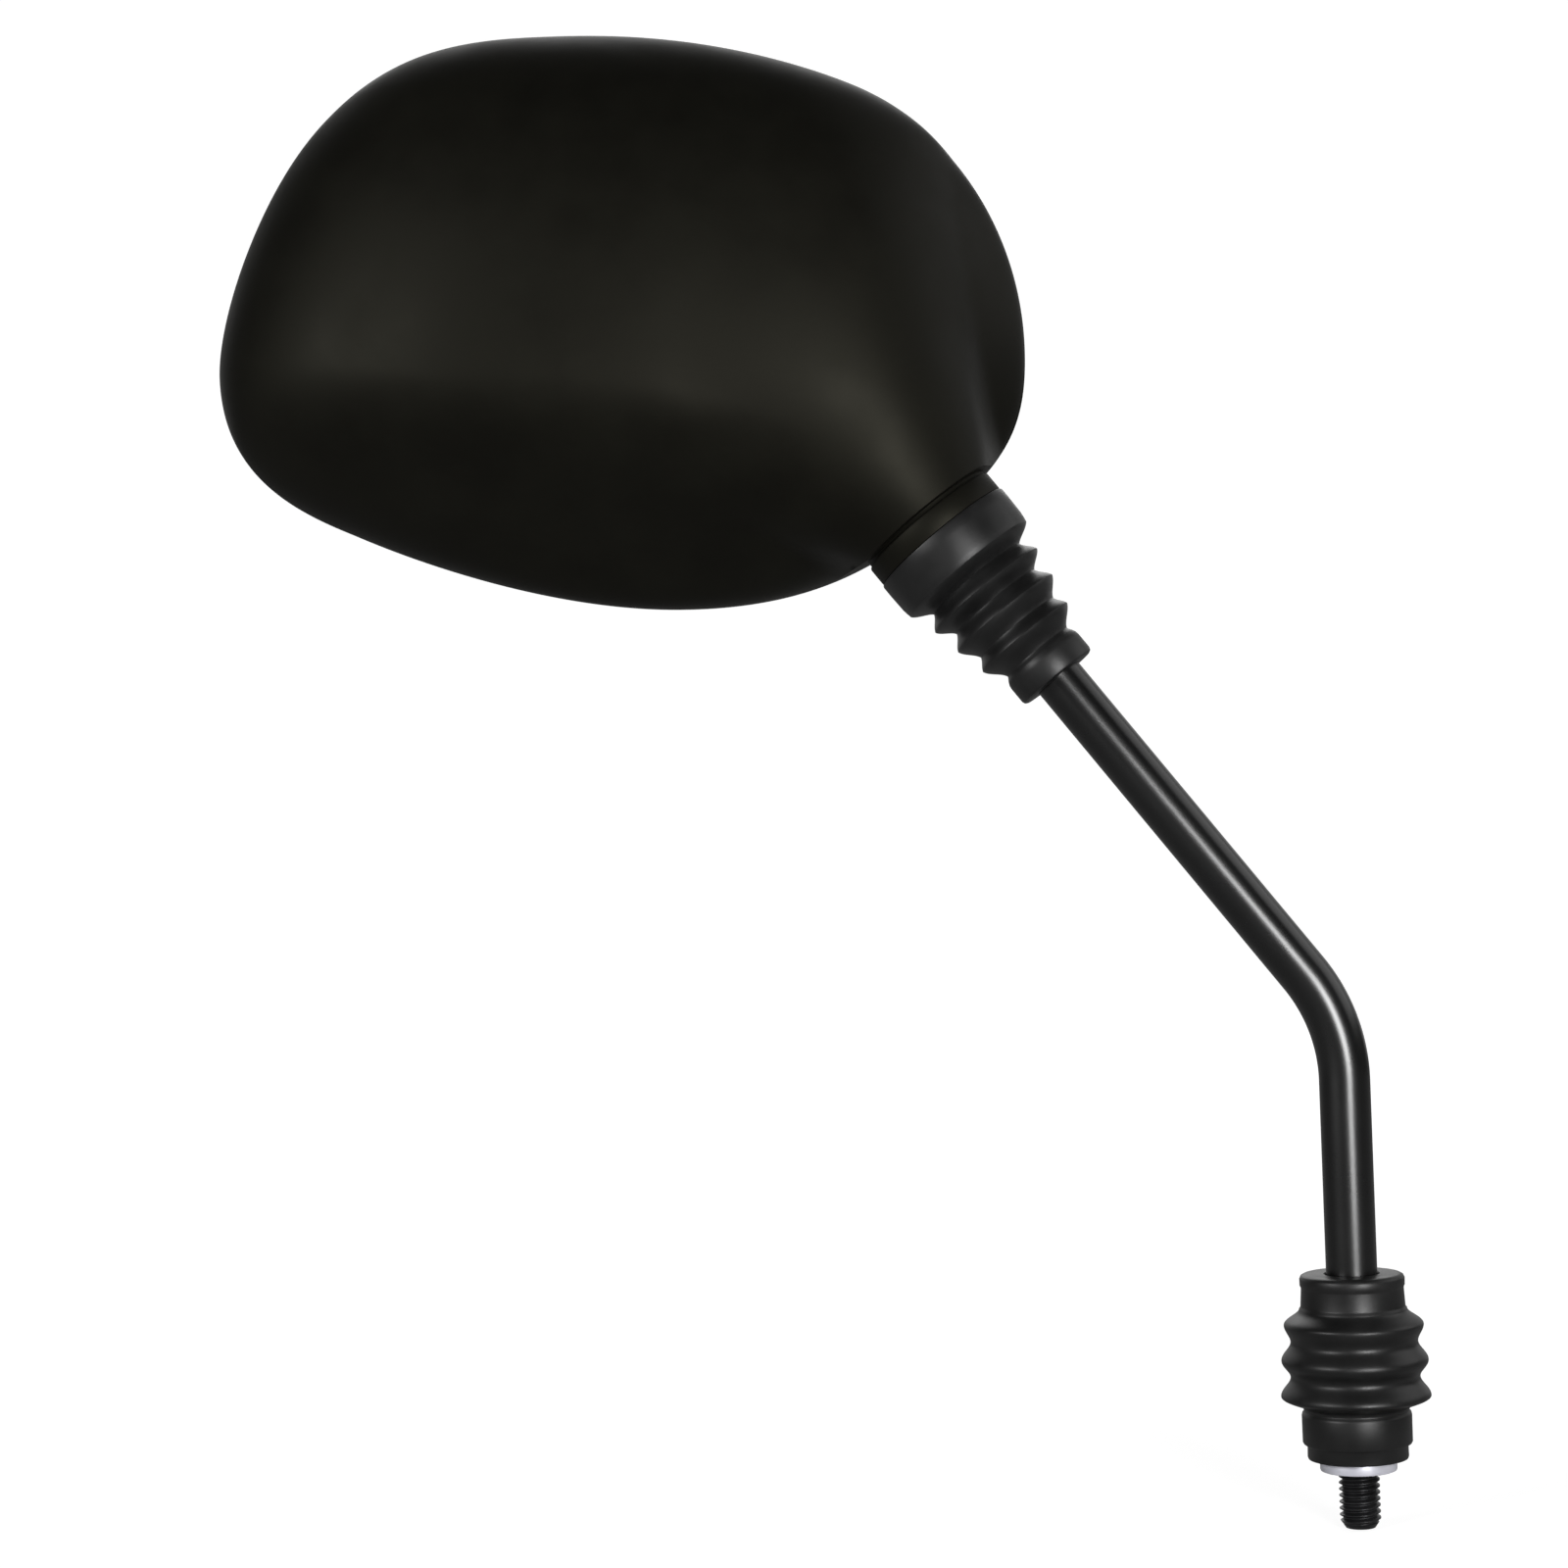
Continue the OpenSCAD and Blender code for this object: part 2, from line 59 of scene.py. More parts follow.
sensor, view_width, camera_distance = 36, 0.3077, 0.7
camera_x, camera_z, lean = -0.1078, 0.1386, math.radians(2.1)
camera_data = bpy.data.cameras.new("camera")
camera_data.sensor_width = sensor
camera_data.lens = sensor * camera_distance / view_width
camera = bpy.data.objects.new("camera", camera_data)
camera.matrix_world = Matrix((
    (math.cos(lean), math.sin(lean), 0, camera_x),
    (0, 0, -1, -camera_distance),
    (-math.sin(lean), math.cos(lean), 0, camera_z),
    (0, 0, 0, 1),
))
bpy.context.scene.collection.objects.link(camera)
bpy.context.scene.camera = camera
bpy.context.scene.view_settings.view_transform = "Standard"

paper_colour, paper_roughness = (0.25, 0.25, 0.25, 1), 0.9
paper_size, floor_z, backdrop_y, backdrop_z = 12, -11.4 * MM, 5, 2
full_glow_at = 0.9


def white_to_eye(name, nearby, mirrored):
    """Pale paper that glows so that the eye sees it white.

    Its glow falls to the strength nearby at the middle of the paper, where lamps light it too.
    In mirrors it has the strength mirrored on top of its lamplight.
    """
    made = bpy.data.materials.new(name)
    made.use_nodes = True
    nodes, links = made.node_tree.nodes, made.node_tree.links
    shader = nodes["Principled BSDF"]
    shader.inputs["Base Color"].default_value = paper_colour
    shader.inputs["Roughness"].default_value = paper_roughness
    shader.inputs["Specular IOR Level"].default_value = 0
    glow = nodes.new("ShaderNodeEmission")
    path = nodes.new("ShaderNodeLightPath")
    through = nodes.new("ShaderNodeMath")
    through.operation = "MAXIMUM"
    links.new(path.outputs["Is Glossy Ray"], through.inputs[0])
    links.new(path.outputs["Is Transmission Ray"], through.inputs[1])
    dimmed = nodes.new("ShaderNodeMath")
    dimmed.operation = "MULTIPLY"
    dimmed.inputs[1].default_value = mirrored
    links.new(through.outputs[0], dimmed.inputs[0])
    place, reach = nodes.new("ShaderNodeTexCoord"), nodes.new("ShaderNodeVectorMath")
    reach.operation = "LENGTH"
    links.new(place.outputs["Object"], reach.inputs[0])
    seen = nodes.new("ShaderNodeMapRange")
    seen.inputs["From Max"].default_value = full_glow_at
    seen.inputs["To Min"].default_value = nearby
    links.new(reach.outputs["Value"], seen.inputs["Value"])
    bright = nodes.new("ShaderNodeMath")
    bright.operation = "MULTIPLY_ADD"
    links.new(seen.outputs[0], bright.inputs[1])
    links.new(path.outputs["Is Camera Ray"], bright.inputs[0])
    links.new(dimmed.outputs[0], bright.inputs[2])
    links.new(bright.outputs[0], glow.inputs["Strength"])
    both = nodes.new("ShaderNodeAddShader")
    links.new(shader.outputs[0], both.inputs[0])
    links.new(glow.outputs[0], both.inputs[1])
    links.new(both.outputs[0], nodes["Material Output"].inputs["Surface"])
    return made


bare()
bpy.ops.mesh.primitive_plane_add(size=paper_size, location=(0, 0, floor_z))
floor = bpy.context.object
floor.name = "floor"
floor.data.materials.append(white_to_eye("floor_paper", 0.86, 0.1))
bpy.ops.mesh.primitive_plane_add(
    size=paper_size, location=(0, backdrop_y, backdrop_z), rotation=(math.pi / 2, 0, 0))
backdrop = bpy.context.object
backdrop.name = "backdrop"
backdrop.data.materials.append(white_to_eye("backdrop_paper", 1.0, 0.6))

air_light, air_seen = 0.08, 1
world = bpy.data.worlds.new("room")
bpy.context.scene.world = world
world.use_nodes = True
air = world.node_tree.nodes["Background"]
air.inputs["Color"].default_value = (1, 1, 1, 1)
sight = world.node_tree.nodes.new("ShaderNodeLightPath")
air_level = world.node_tree.nodes.new("ShaderNodeMapRange")
air_level.inputs["To Min"].default_value = air_light
air_level.inputs["To Max"].default_value = air_seen
world.node_tree.links.new(sight.outputs["Is Camera Ray"], air_level.inputs["Value"])
world.node_tree.links.new(air_level.outputs[0], air.inputs["Strength"])

lamp_aim = Vector((-0.1, 0, 0.15))


def lamp(name, azimuth, elevation, distance, width, height, power):
    """A softbox that looks at the middle of the mirror. Azimuth 0 is the camera's side, 90 its right."""
    data = bpy.data.lights.new(name, "AREA")
    data.shape = "RECTANGLE"
    data.size, data.size_y = width, height
    data.energy = power
    held = bpy.data.objects.new(name, data)
    a, e = math.radians(azimuth), math.radians(elevation)
    away = Vector((math.sin(a) * math.cos(e), -math.cos(a) * math.cos(e), math.sin(e)))
    held.location = lamp_aim + distance * away
    held.rotation_mode = "QUATERNION"
    held.rotation_quaternion = away.to_track_quat("Z", "Y")
    bpy.context.scene.collection.objects.link(held)


lamp("lamp_right", 21, 0, 0.8, 0.25, 0.32, 7.9)
lamp("lamp_left", -50, 13, 1.2, 0.55, 0.22, 9)
lamp("lamp_side", 95, 26, 1.2, 1.0, 0.7, 3)
lamp("lamp_back", 180, 30, 1.4, 1.0, 0.8, 5)


# Adapter
# A turned and threaded steel adapter with a black zinc finish: a hexagon, a seat flange and an M8
# stud. The flange's pale colour is a painted highlight. It is cut from hexagon bar on a lathe, and
# the rod screws into its upper end.
stud_r, stud_l, pitch = 4 * MM, 11.2 * MM, 1.25 * MM
thread_depth = 0.68 * MM
tip_l, tip_depth = 1.6 * MM, 1.1 * MM
relief_start, relief_end, relief_depth = 1.3 * MM, 0.6 * MM, 0.7 * MM
overlap = 0.4 * MM
flange_r, flange_h = 7.5 * MM, 2.3 * MM
edge, edge_middle = 0.35 * MM, 0.1 * MM
hex_flat, adapter_top = 7 * MM, 15 * MM
hex_r = hex_flat / math.cos(math.radians(30))
rod_r, socket_floor, mouth = 5 * MM, 3.5 * MM, 0.8 * MM
margin = 0.01 * MM


def only(piece):
    bare()
    piece.select_set(True)
    bpy.context.view_layer.objects.active = piece


def new_piece(name, points, edges, faces):
    """An object with this mesh, left as the only one selected."""
    mesh = bpy.data.meshes.new(name)
    mesh.from_pydata(points, edges, faces)
    piece = bpy.data.objects.new(name, mesh)
    bpy.context.scene.collection.objects.link(piece)
    only(piece)
    return piece


def settle(piece):
    """Works the place and the turn of a new solid into its mesh."""
    only(piece)
    bpy.ops.object.transform_apply(location=True, rotation=True, scale=True)


def edit_all():
    bpy.ops.object.mode_set(mode="EDIT")
    bpy.ops.mesh.select_all(action="SELECT")


def close_outwards():
    """Turns all faces outwards and leaves edit mode."""
    bpy.ops.mesh.select_all(action="SELECT")
    bpy.ops.mesh.normals_make_consistent(inside=False)
    bpy.ops.object.mode_set(mode="OBJECT")


def turned(name, profile, steps=96, closed=True):
    """Spins a profile of (radius, height) points once round the Z axis, as on a lathe."""
    count = len(profile)
    last = count if closed else count - 1
    edges = [(i, (i + 1) % count) for i in range(last)]
    piece = new_piece(name, [(r, 0, z) for r, z in profile], edges, [])
    edit_all()
    bpy.ops.mesh.spin(steps=steps, angle=2 * math.pi, center=(0, 0, 0), axis=(0, 0, 1))
    bpy.ops.mesh.select_all(action="SELECT")
    bpy.ops.mesh.remove_doubles(threshold=1e-6)
    bpy.ops.mesh.dissolve_degenerate(threshold=1e-7)
    close_outwards()
    return piece


def sawn(point, way, below):
    """Saws all of the piece that is edited along a plane, closes it and keeps one side."""
    bpy.ops.mesh.select_all(action="SELECT")
    bpy.ops.mesh.bisect(
        plane_co=tuple(point), plane_no=tuple(way), use_fill=True, clear_inner=not below,
        clear_outer=below, threshold=1e-7)


def cut(piece, tool, how):
    """Adds, subtracts or keeps what is common with another solid, which is used up."""
    only(piece)
    step = piece.modifiers.new("cut", "BOOLEAN")
    step.operation = how
    step.solver = "MANIFOLD"
    step.object = tool
    bpy.ops.object.modifier_apply(modifier=step.name)
    bpy.data.objects.remove(tool)


def threaded(name, radius, low, high):
    """A threaded bar along Z with coarse flanks, cut square at both ends."""
    root = radius - thread_depth
    # One tooth, as radii and shares of the pitch.
    tooth = [(root, 0), (root, 0.12), (radius, 0.46), (radius, 0.62)]
    turns = int((high - low) / pitch) + 4
    start = low - 2 * pitch
    profile = [(r, start + (i + share) * pitch) for i in range(turns) for r, share in tooth]
    edges = [(i, i + 1) for i in range(len(profile) - 1)]
    piece = new_piece(name, [(r, 0, z) for r, z in profile], edges, [])
    step = piece.modifiers.new("screw", "SCREW")
    step.axis = "Z"
    step.angle = 2 * math.pi
    step.screw_offset = pitch
    step.steps = step.render_steps = 48
    bpy.ops.object.modifier_apply(modifier=step.name)
    edit_all()
    bpy.ops.mesh.remove_doubles(threshold=1e-6)
    sawn((0, 0, low), (0, 0, 1), False)
    sawn((0, 0, high), (0, 0, 1), True)
    close_outwards()
    return piece


def hexagon(name, low, high):
    """Hexagon bar between two heights, with both ends chamfered on the lathe."""
    bare()
    bpy.ops.mesh.primitive_cylinder_add(
        vertices=6, radius=hex_r, depth=high - low, location=(0, 0, (low + high) / 2),
        rotation=(0, 0, math.pi / 6))
    piece = bpy.context.object
    piece.name = name
    settle(piece)
    fall = (hex_r - hex_flat) * 0.6
    cone = turned("cone", [
        (0, low), (hex_flat, low), (hex_r + margin, low + fall), (hex_r + margin, high - fall),
        (hex_flat, high), (0, high)], closed=False)
    cut(piece, cone, "INTERSECT")
    return piece


def smooth(piece, degrees=30):
    only(piece)
    bpy.ops.object.shade_smooth_by_angle(angle=math.radians(degrees))


def grain_group():
    """Fine moulded or cast grain: a height for the bump and an unevenness for colour and roughness."""
    group = bpy.data.node_groups.new("grain", "ShaderNodeTree")
    face = group.interface
    for name, value in (("Fine Scale", 2500.0), ("Broad Scale", 60.0), ("Broad Share", 0.3)):
        face.new_socket(name, in_out="INPUT", socket_type="NodeSocketFloat").default_value = value
    for name in ("Height", "Uneven"):
        face.new_socket(name, in_out="OUTPUT", socket_type="NodeSocketFloat")
    nodes, links = group.nodes, group.links
    inlet, outlet = nodes.new("NodeGroupInput"), nodes.new("NodeGroupOutput")
    place = nodes.new("ShaderNodeTexCoord")
    fine, broad = nodes.new("ShaderNodeTexNoise"), nodes.new("ShaderNodeTexNoise")
    fine.inputs["Detail"].default_value = 3
    broad.inputs["Detail"].default_value = 5
    for noise, socket in ((fine, "Fine Scale"), (broad, "Broad Scale")):
        links.new(place.outputs["Object"], noise.inputs["Vector"])
        links.new(inlet.outputs[socket], noise.inputs["Scale"])
    both = nodes.new("ShaderNodeMix")
    both.data_type = "FLOAT"
    links.new(inlet.outputs["Broad Share"], both.inputs[0])
    links.new(fine.outputs["Fac"], both.inputs[2])
    links.new(broad.outputs["Fac"], both.inputs[3])
    links.new(both.outputs[0], outlet.inputs["Height"])
    links.new(broad.outputs["Fac"], outlet.inputs["Uneven"])
    return group


grain = grain_group()


def finish_of(
        name, colours, roughness, fine, broad, bump, share=0.3, metallic=0.0, specular=0.5,
        tint=(1, 1, 1, 1)):
    """A finish whose colour and roughness wander between two values and whose grain is a bump."""
    made = bpy.data.materials.new(name)
    made.use_nodes = True
    nodes, links = made.node_tree.nodes, made.node_tree.links
    shader = nodes["Principled BSDF"]
    shader.inputs["Metallic"].default_value = metallic
    shader.inputs["Specular IOR Level"].default_value = specular
    shader.inputs["Specular Tint"].default_value = tint
    skin = nodes.new("ShaderNodeGroup")
    skin.node_tree = grain
    skin.inputs["Fine Scale"].default_value = fine
    skin.inputs["Broad Scale"].default_value = broad
    skin.inputs["Broad Share"].default_value = share
    spread = nodes.new("ShaderNodeMapRange")
    spread.inputs["From Min"].default_value = 0.3
    spread.inputs["From Max"].default_value = 0.7
    links.new(skin.outputs["Uneven"], spread.inputs["Value"])
    colour = nodes.new("ShaderNodeMix")
    colour.data_type = "RGBA"
    colour.inputs[6].default_value = (*colours[0], 1)
    colour.inputs[7].default_value = (*colours[1], 1)
    links.new(spread.outputs[0], colour.inputs[0])
    links.new(colour.outputs[2], shader.inputs["Base Color"])
    sheen = nodes.new("ShaderNodeMapRange")
    sheen.inputs["To Min"].default_value = roughness[0]
    sheen.inputs["To Max"].default_value = roughness[1]
    links.new(spread.outputs[0], sheen.inputs["Value"])
    links.new(sheen.outputs[0], shader.inputs["Roughness"])
    relief = nodes.new("ShaderNodeBump")
    relief.inputs["Strength"].default_value = bump[0]
    relief.inputs["Distance"].default_value = bump[1]
    links.new(skin.outputs["Height"], relief.inputs["Height"])
    links.new(relief.outputs[0], shader.inputs["Normal"])
    return made


def dress(piece, material, body, slot, *nodes):
    """Gives a finished piece its material and its body, and hides the CAD nodes that it stands for. The slot
    is not used.
    """
    piece.data.materials.clear()
    piece.data.materials.append(material)
    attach(piece, body)
    if nodes:
        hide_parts(*nodes)


black_zinc = finish_of(
    "black_zinc", ((0.02, 0.02, 0.021), (0.036, 0.036, 0.038)), (0.28, 0.42), 3000, 240, (0.15, 0.00002),
    metallic=0.8)
stud = threaded("stud", stud_r, -stud_l, overlap)
stud_blank = turned("stud_blank", [
    (0, -stud_l), (stud_r - tip_depth, -stud_l), (stud_r, -stud_l + tip_l), (stud_r, -relief_start),
    (stud_r - relief_depth, -relief_end), (stud_r - relief_depth, overlap), (0, overlap)], closed=False)
cut(stud, stud_blank, "INTERSECT")
adapter = hexagon("adapter_steel", flange_h - overlap, adapter_top)
flange = turned("flange", [
    (0, 0), (flange_r - edge, 0), (flange_r - edge_middle, edge_middle), (flange_r, edge),
    (flange_r, flange_h - edge), (flange_r - edge_middle, flange_h - edge_middle),
    (flange_r - edge, flange_h), (0, flange_h)], closed=False)
cut(adapter, flange, "UNION")
cut(adapter, stud, "UNION")
socket = turned("socket", [
    (0, socket_floor), (rod_r, socket_floor), (rod_r, adapter_top - mouth), (rod_r + mouth, adapter_top),
    (rod_r + mouth, adapter_top + MM), (0, adapter_top + MM)], closed=False)
cut(adapter, socket, "DIFFERENCE")
smooth(adapter)
dress(adapter, black_zinc, "adapter_body", "black_steel", "adapter")
# The flange's faces get a pale zinc colour. It is a painted highlight for the bright ring of light on it.
painted_highlight_zinc = finish_of(
    "painted_highlight_zinc", ((0.4, 0.4, 0.45), (0.48, 0.48, 0.53)), (0.35, 0.45), 2500, 260, (0.1, 0.00002),
    metallic=0.2)
adapter.data.materials.append(painted_highlight_zinc)
# The faces round the flange take the painted highlight.
for face in adapter.data.polygons:
    from_axis = math.hypot(face.center.x, face.center.y)
    at_flange = face.center.z < flange_h + margin and from_axis > stud_r + 0.2 * MM
    face.material_index = int(at_flange)


# Steel rod
# A 10 mm steel rod with a rolled M10 thread at its foot, bent in one plane and painted gloss black,
# with a turned spigot at its upper end for the ball.
bend_z, bend_angle, bend_radius = 88.4 * MM, math.radians(37.5), 35 * MM
stem_turn, ball_reach = math.radians(8), 134 * MM
bend_run = bend_radius * math.tan(bend_angle / 2)
thread_r, thread_end, thread_top = rod_r - 0.05 * MM, 4.5 * MM, 27 * MM
foot_edge, shoulder_edge = 0.6 * MM, 0.5 * MM
ball_flat, spigot_r = 7 * MM, 4 * MM
lean_to = Vector((-math.cos(stem_turn), math.sin(stem_turn), 0))
up = Vector((0, 0, 1))
neck_way = lean_to * math.sin(bend_angle) + up * math.cos(bend_angle)
ball_centre = Vector((0, 0, bend_z)) + ball_reach * neck_way
at_ball = Matrix.Translation(ball_centre) @ Matrix.Rotation(-stem_turn, 4, "Z")
at_ball = at_ball @ Matrix.Rotation(-bend_angle, 4, "Y")


def push_ring(way):
    """Draws the selected open end on by a straight length."""
    bpy.ops.mesh.extrude_region_move(TRANSFORM_OT_translate={"value": tuple(way)})


def size_ring(factor, centre):
    bpy.ops.transform.resize(value=(factor, factor, factor), center_override=tuple(centre))


gloss_paint = finish_of(
    "gloss_paint", ((0.0006, 0.0006, 0.0006), (0.001, 0.001, 0.001)), (0.25, 0.3), 700, 50, (0.02, 0.00001))
foot = thread_top - MM
bend_start = bend_z - bend_run
bare()
bpy.ops.mesh.primitive_circle_add(
    vertices=64, radius=rod_r - foot_edge, location=(0, 0, foot), fill_type="NGON")
rod = bpy.context.object
rod.name = "steel_rod"
settle(rod)
edit_all()
push_ring(up * foot_edge)
size_ring(rod_r / (rod_r - foot_edge), (0, 0, foot + foot_edge))
push_ring(up * (bend_start - foot - foot_edge))
bpy.ops.mesh.delete(type="ONLY_FACE")
bpy.ops.object.mode_set(mode="OBJECT")
for v in rod.data.vertices:
    v.select = abs(v.co.z - bend_start) < 1e-6
for e in rod.data.edges:
    e.select = all(abs(rod.data.vertices[i].co.z - bend_start) < 1e-6 for i in e.vertices)
bpy.ops.object.mode_set(mode="EDIT")
bend_centre = Vector((0, 0, bend_start)) + bend_radius * lean_to
bpy.ops.mesh.spin(steps=40, angle=-bend_angle, center=bend_centre, axis=up.cross(lean_to))
seat_at = ball_reach - ball_flat
push_ring(neck_way * (seat_at - bend_run - shoulder_edge))
push_ring(neck_way * shoulder_edge)
seat = Vector((0, 0, bend_z)) + seat_at * neck_way
size_ring((rod_r - shoulder_edge) / rod_r, seat)
push_ring(neck_way * 0)
size_ring(spigot_r / (rod_r - shoulder_edge), seat)
push_ring(neck_way * 2 * ball_flat)
bpy.ops.mesh.edge_face_add()
bpy.ops.mesh.select_all(action="SELECT")
bpy.ops.mesh.remove_doubles(threshold=1e-6)
close_outwards()
thread_high = thread_top - 0.5 * MM
rod_thread = threaded("rod_thread", thread_r, thread_end, thread_high)
thread_blank = turned("thread_blank", [
    (0, thread_end), (rod_r - MM, thread_end), (thread_r, thread_end + MM), (thread_r, thread_high),
    (0, thread_high)], closed=False)
cut(rod_thread, thread_blank, "INTERSECT")
cut(rod, rod_thread, "UNION")
smooth(rod)
dress(rod, gloss_paint, "stem_body", "black_paint", "stem")


# Lock nut
# An M10 lock nut of the same black zinc steel, run down on the rod's thread and tightened against
# the adapter so that the mirror keeps its heading.
nut_h, nut_turn = 6 * MM, 17
wide_mouth = rod_r + 1.8 * MM
nut = hexagon("lock_nut_steel", adapter_top, adapter_top + nut_h)
nut.data.transform(Matrix.Rotation(math.radians(nut_turn), 4, "Z"))
nut_hole = turned("nut_hole", [
    (0, adapter_top - MM), (wide_mouth, adapter_top - MM), (rod_r, adapter_top + mouth),
    (rod_r, adapter_top + nut_h - mouth), (wide_mouth, adapter_top + nut_h + MM),
    (0, adapter_top + nut_h + MM)], closed=False)
cut(nut, nut_hole, "DIFFERENCE")
smooth(nut)
dress(nut, black_zinc, "stem_body", "black_steel", "lock_nut")


# Lower boot
# A moulded rubber boot over the nut and the adapter: a sleeve with a stepped lip, three rolled
# folds, and a tight collar on the rod.
lower_z, lower_l = flange_h, 36.3 * MM
lower_top = lower_z + lower_l
boot_wall, rolled_extra = 1.3 * MM, 0.3 * MM
sleeve_bore, rod_grip = hex_r + 0.05 * MM, rod_r + 0.1 * MM
grip_start, grip_edge = 32.6 * MM, 0.6 * MM
sleeve = [
    (9.2, 2.3), (9.7, 2.4), (9.85, 2.8), (9.8, 5.0), (10.0, 5.25), (10.5, 5.35), (10.7, 5.7), (10.72, 10.9),
    (10.6, 11.4), (10.3, 11.7), (10.25, 11.95)]
lower_folds = [
    (12.2, 10.4), (14.6, 14.6), (18.4, 12.6), (21.6, 14.3), (25.3, 12.4), (28.6, 13.6), (31.8, 10.5)]
rim = [
    (10.25, 32.1), (10.2, 32.4), (10.0, 35.7), (10.03, 36.0), (10.22, 36.4), (10.25, 37.7), (10.0, 38.25),
    (9.5, 38.52), (8.9, 38.6)]


def in_metres(points):
    return [(r * MM, z * MM) for r, z in points]


def folds(stations, steps=14, blunt=0.5):
    """A bellows line through (height, radius) stations in millimetres, as (radius, height) points.

    Blunt 0 gives straight flanks with sharp folds, and blunt 1 gives round folds.
    """
    line = []
    for (z0, r0), (z1, r1) in zip(stations, stations[1:]):
        for k in range(steps):
            t = k / steps
            ease = (1 - math.cos(math.pi * t)) / 2
            share = blunt * ease + (1 - blunt) * t
            line.append(((r0 + (r1 - r0) * share) * MM, (z0 + (z1 - z0) * t) * MM))
    line.append((stations[-1][1] * MM, stations[-1][0] * MM))
    return line


boot_rubber = finish_of(
    "boot_rubber", ((0.004, 0.004, 0.004), (0.007, 0.007, 0.007)), (0.36, 0.46), 1800, 150, (0.2, 0.00004),
    specular=0.28)
outside = in_metres(sleeve) + folds(lower_folds, blunt=1)[1:] + in_metres(rim)
inside = [(sleeve_bore, lower_z), (sleeve_bore, lower_folds[0][0] * MM)]
inside += [(r - boot_wall - rolled_extra, z) for r, z in folds(lower_folds[1:], steps=6, blunt=1)]
inside += [(rod_grip, grip_start), (rod_grip, lower_top - grip_edge), (rod_r + 0.5 * MM, lower_top)]
lower_boot = turned("lower_boot_rubber", outside + inside[::-1], steps=128)
smooth(lower_boot, 40)
dress(lower_boot, boot_rubber, "lower_boot_body", "boot_rubber", "lower_boot")


# Upper boot
# The rubber boot over the ball joint: a wide collar stretched on the neck's bead, three deep folds
# and a small collar that grips the rod. It is made in three runs, split where the joint turns.
# Heights along the neck, from the ball's centre, and radii are in millimetres here.
neck_mouth, boot_end = -10.4, -46.7
spigot_out, bead_out, spigot_end = 12.6, 13.1, -15.4
bend_1, bend_2, bend_3, bend_4 = -17.4, -21.2, -27.1, -40.1
upper_folds = [
    (bend_1, 15.1), (-18.6, 14.9), (bend_2, 11), (-24.2, 13.1), (bend_3, 10), (-30.1, 12.1), (-33.8, 9.3),
    (-36.3, 10.8), (bend_4, 7.6), (-41.4, 8.3)]
collar = [
    (spigot_out, neck_mouth), (14.9, neck_mouth), (15.2, neck_mouth - 0.1), (15.3, neck_mouth - 0.4),
    (15.3, -13), (15.2, -16.6)]
collar_bore = [
    (spigot_out, spigot_end + 2), (bead_out, spigot_end + 1), (bead_out, spigot_end), (bead_out, -17.6)]
foot_collar = [(8.5, -41.8), (8.6, -42.6), (8.6, boot_end + 0.9), (8.4, boot_end + 0.3), (7.9, boot_end)]
bore_steps = 6
# Each run has its upper and lower end, the two bodies it bends between and the heights of its bend.
runs = {
    "upper_boot_collar": (neck_mouth, bend_2, "head_body", "front_cup_body", bend_1, bend_2),
    "upper_boot_fold": (bend_2, bend_3, "front_cup_body", "rear_cup_body", bend_2, bend_3),
    "upper_boot_foot": (bend_3, boot_end, "rear_cup_body", "stem_body", bend_3, bend_4),
}
for name, (high, low, body_a, body_b, start, end) in runs.items():
    stations = [s for s in upper_folds if low - 0.01 <= s[0] <= high + 0.01]
    outer = folds(stations)
    inner = [(r - boot_wall, z) for r, z in folds(stations, steps=bore_steps)]
    if name == "upper_boot_collar":
        outer = in_metres(collar) + outer
        inner = in_metres(collar_bore) + inner[bore_steps + 1:]
    if name == "upper_boot_foot":
        outer += in_metres(foot_collar)
        inner += [(rod_grip, -42.4 * MM), (rod_grip, boot_end * MM)]
    run = turned(name, outer + inner[::-1], steps=128)
    run.data.transform(at_ball)
    smooth(run, 40)
    run.data.materials.append(boot_rubber)
    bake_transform(run)
    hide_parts("upper_boot")


# Housing
# The moulded housing of matte black plastic: a shallow crowned back with a soft crease, a side
# ridge and a spine that runs into the round neck. One piece from an injection mould.
# Sizes are in millimetres here, and the head's points are in X and Z.
rim_y, skirt, head_depth, wall = 31.0, 4.0, 43.0, 2.5
soft_edge, lip, arris, ledge_in, ledge_drop = 0.8, 0.9, 0.5, 4.8, 6.4
centre = Vector((-137.0, 225.0))
knots = [
    (-219.5, 225, 90, 22, 12), (-198, 274.5, 47, 18, 22), (-147.5, 292, -1, 20.5, 21.5),
    (-88, 279.5, -24, 19, 22), (-55.5, 225.5, -90, 23, 15), (-76, 190.5, -145, 20.5, 13),
    (-128.5, 175, 178, 28.5, 24), (-192.5, 192, 155, 16, 10)]
# The crown, the slope from the lower edge to the crease, and the slope beside the side ridge.
crown_power = 2.15
low_x, low_z, low_slope, low_bows = -128.5, 175, 1.02, (0.0024, 0.0037)
flare_x, flare, flat_x, flattening = -150, 0.0037, -172, 0.2
side_x, side_z, side_slope, side_bow = -56, 228, 1.17, 0.0098
crease_up, crease_soft = 3, 9
# The neck and the spine, which runs free for a while and is then drawn down to the crown.
neck_root, neck_inner, neck_r = -5.4, -2.4, 15.0
spine_proud, spine_spread, spine_rise, spine_droop = 0.8, 0.7, 0.3, 0.0045
flank_at, flank_fall = 0.97, 4
spine_free, spine_release, release_soft, spine_soft, merge_soft = 40, 2.2, 36, 10, 7


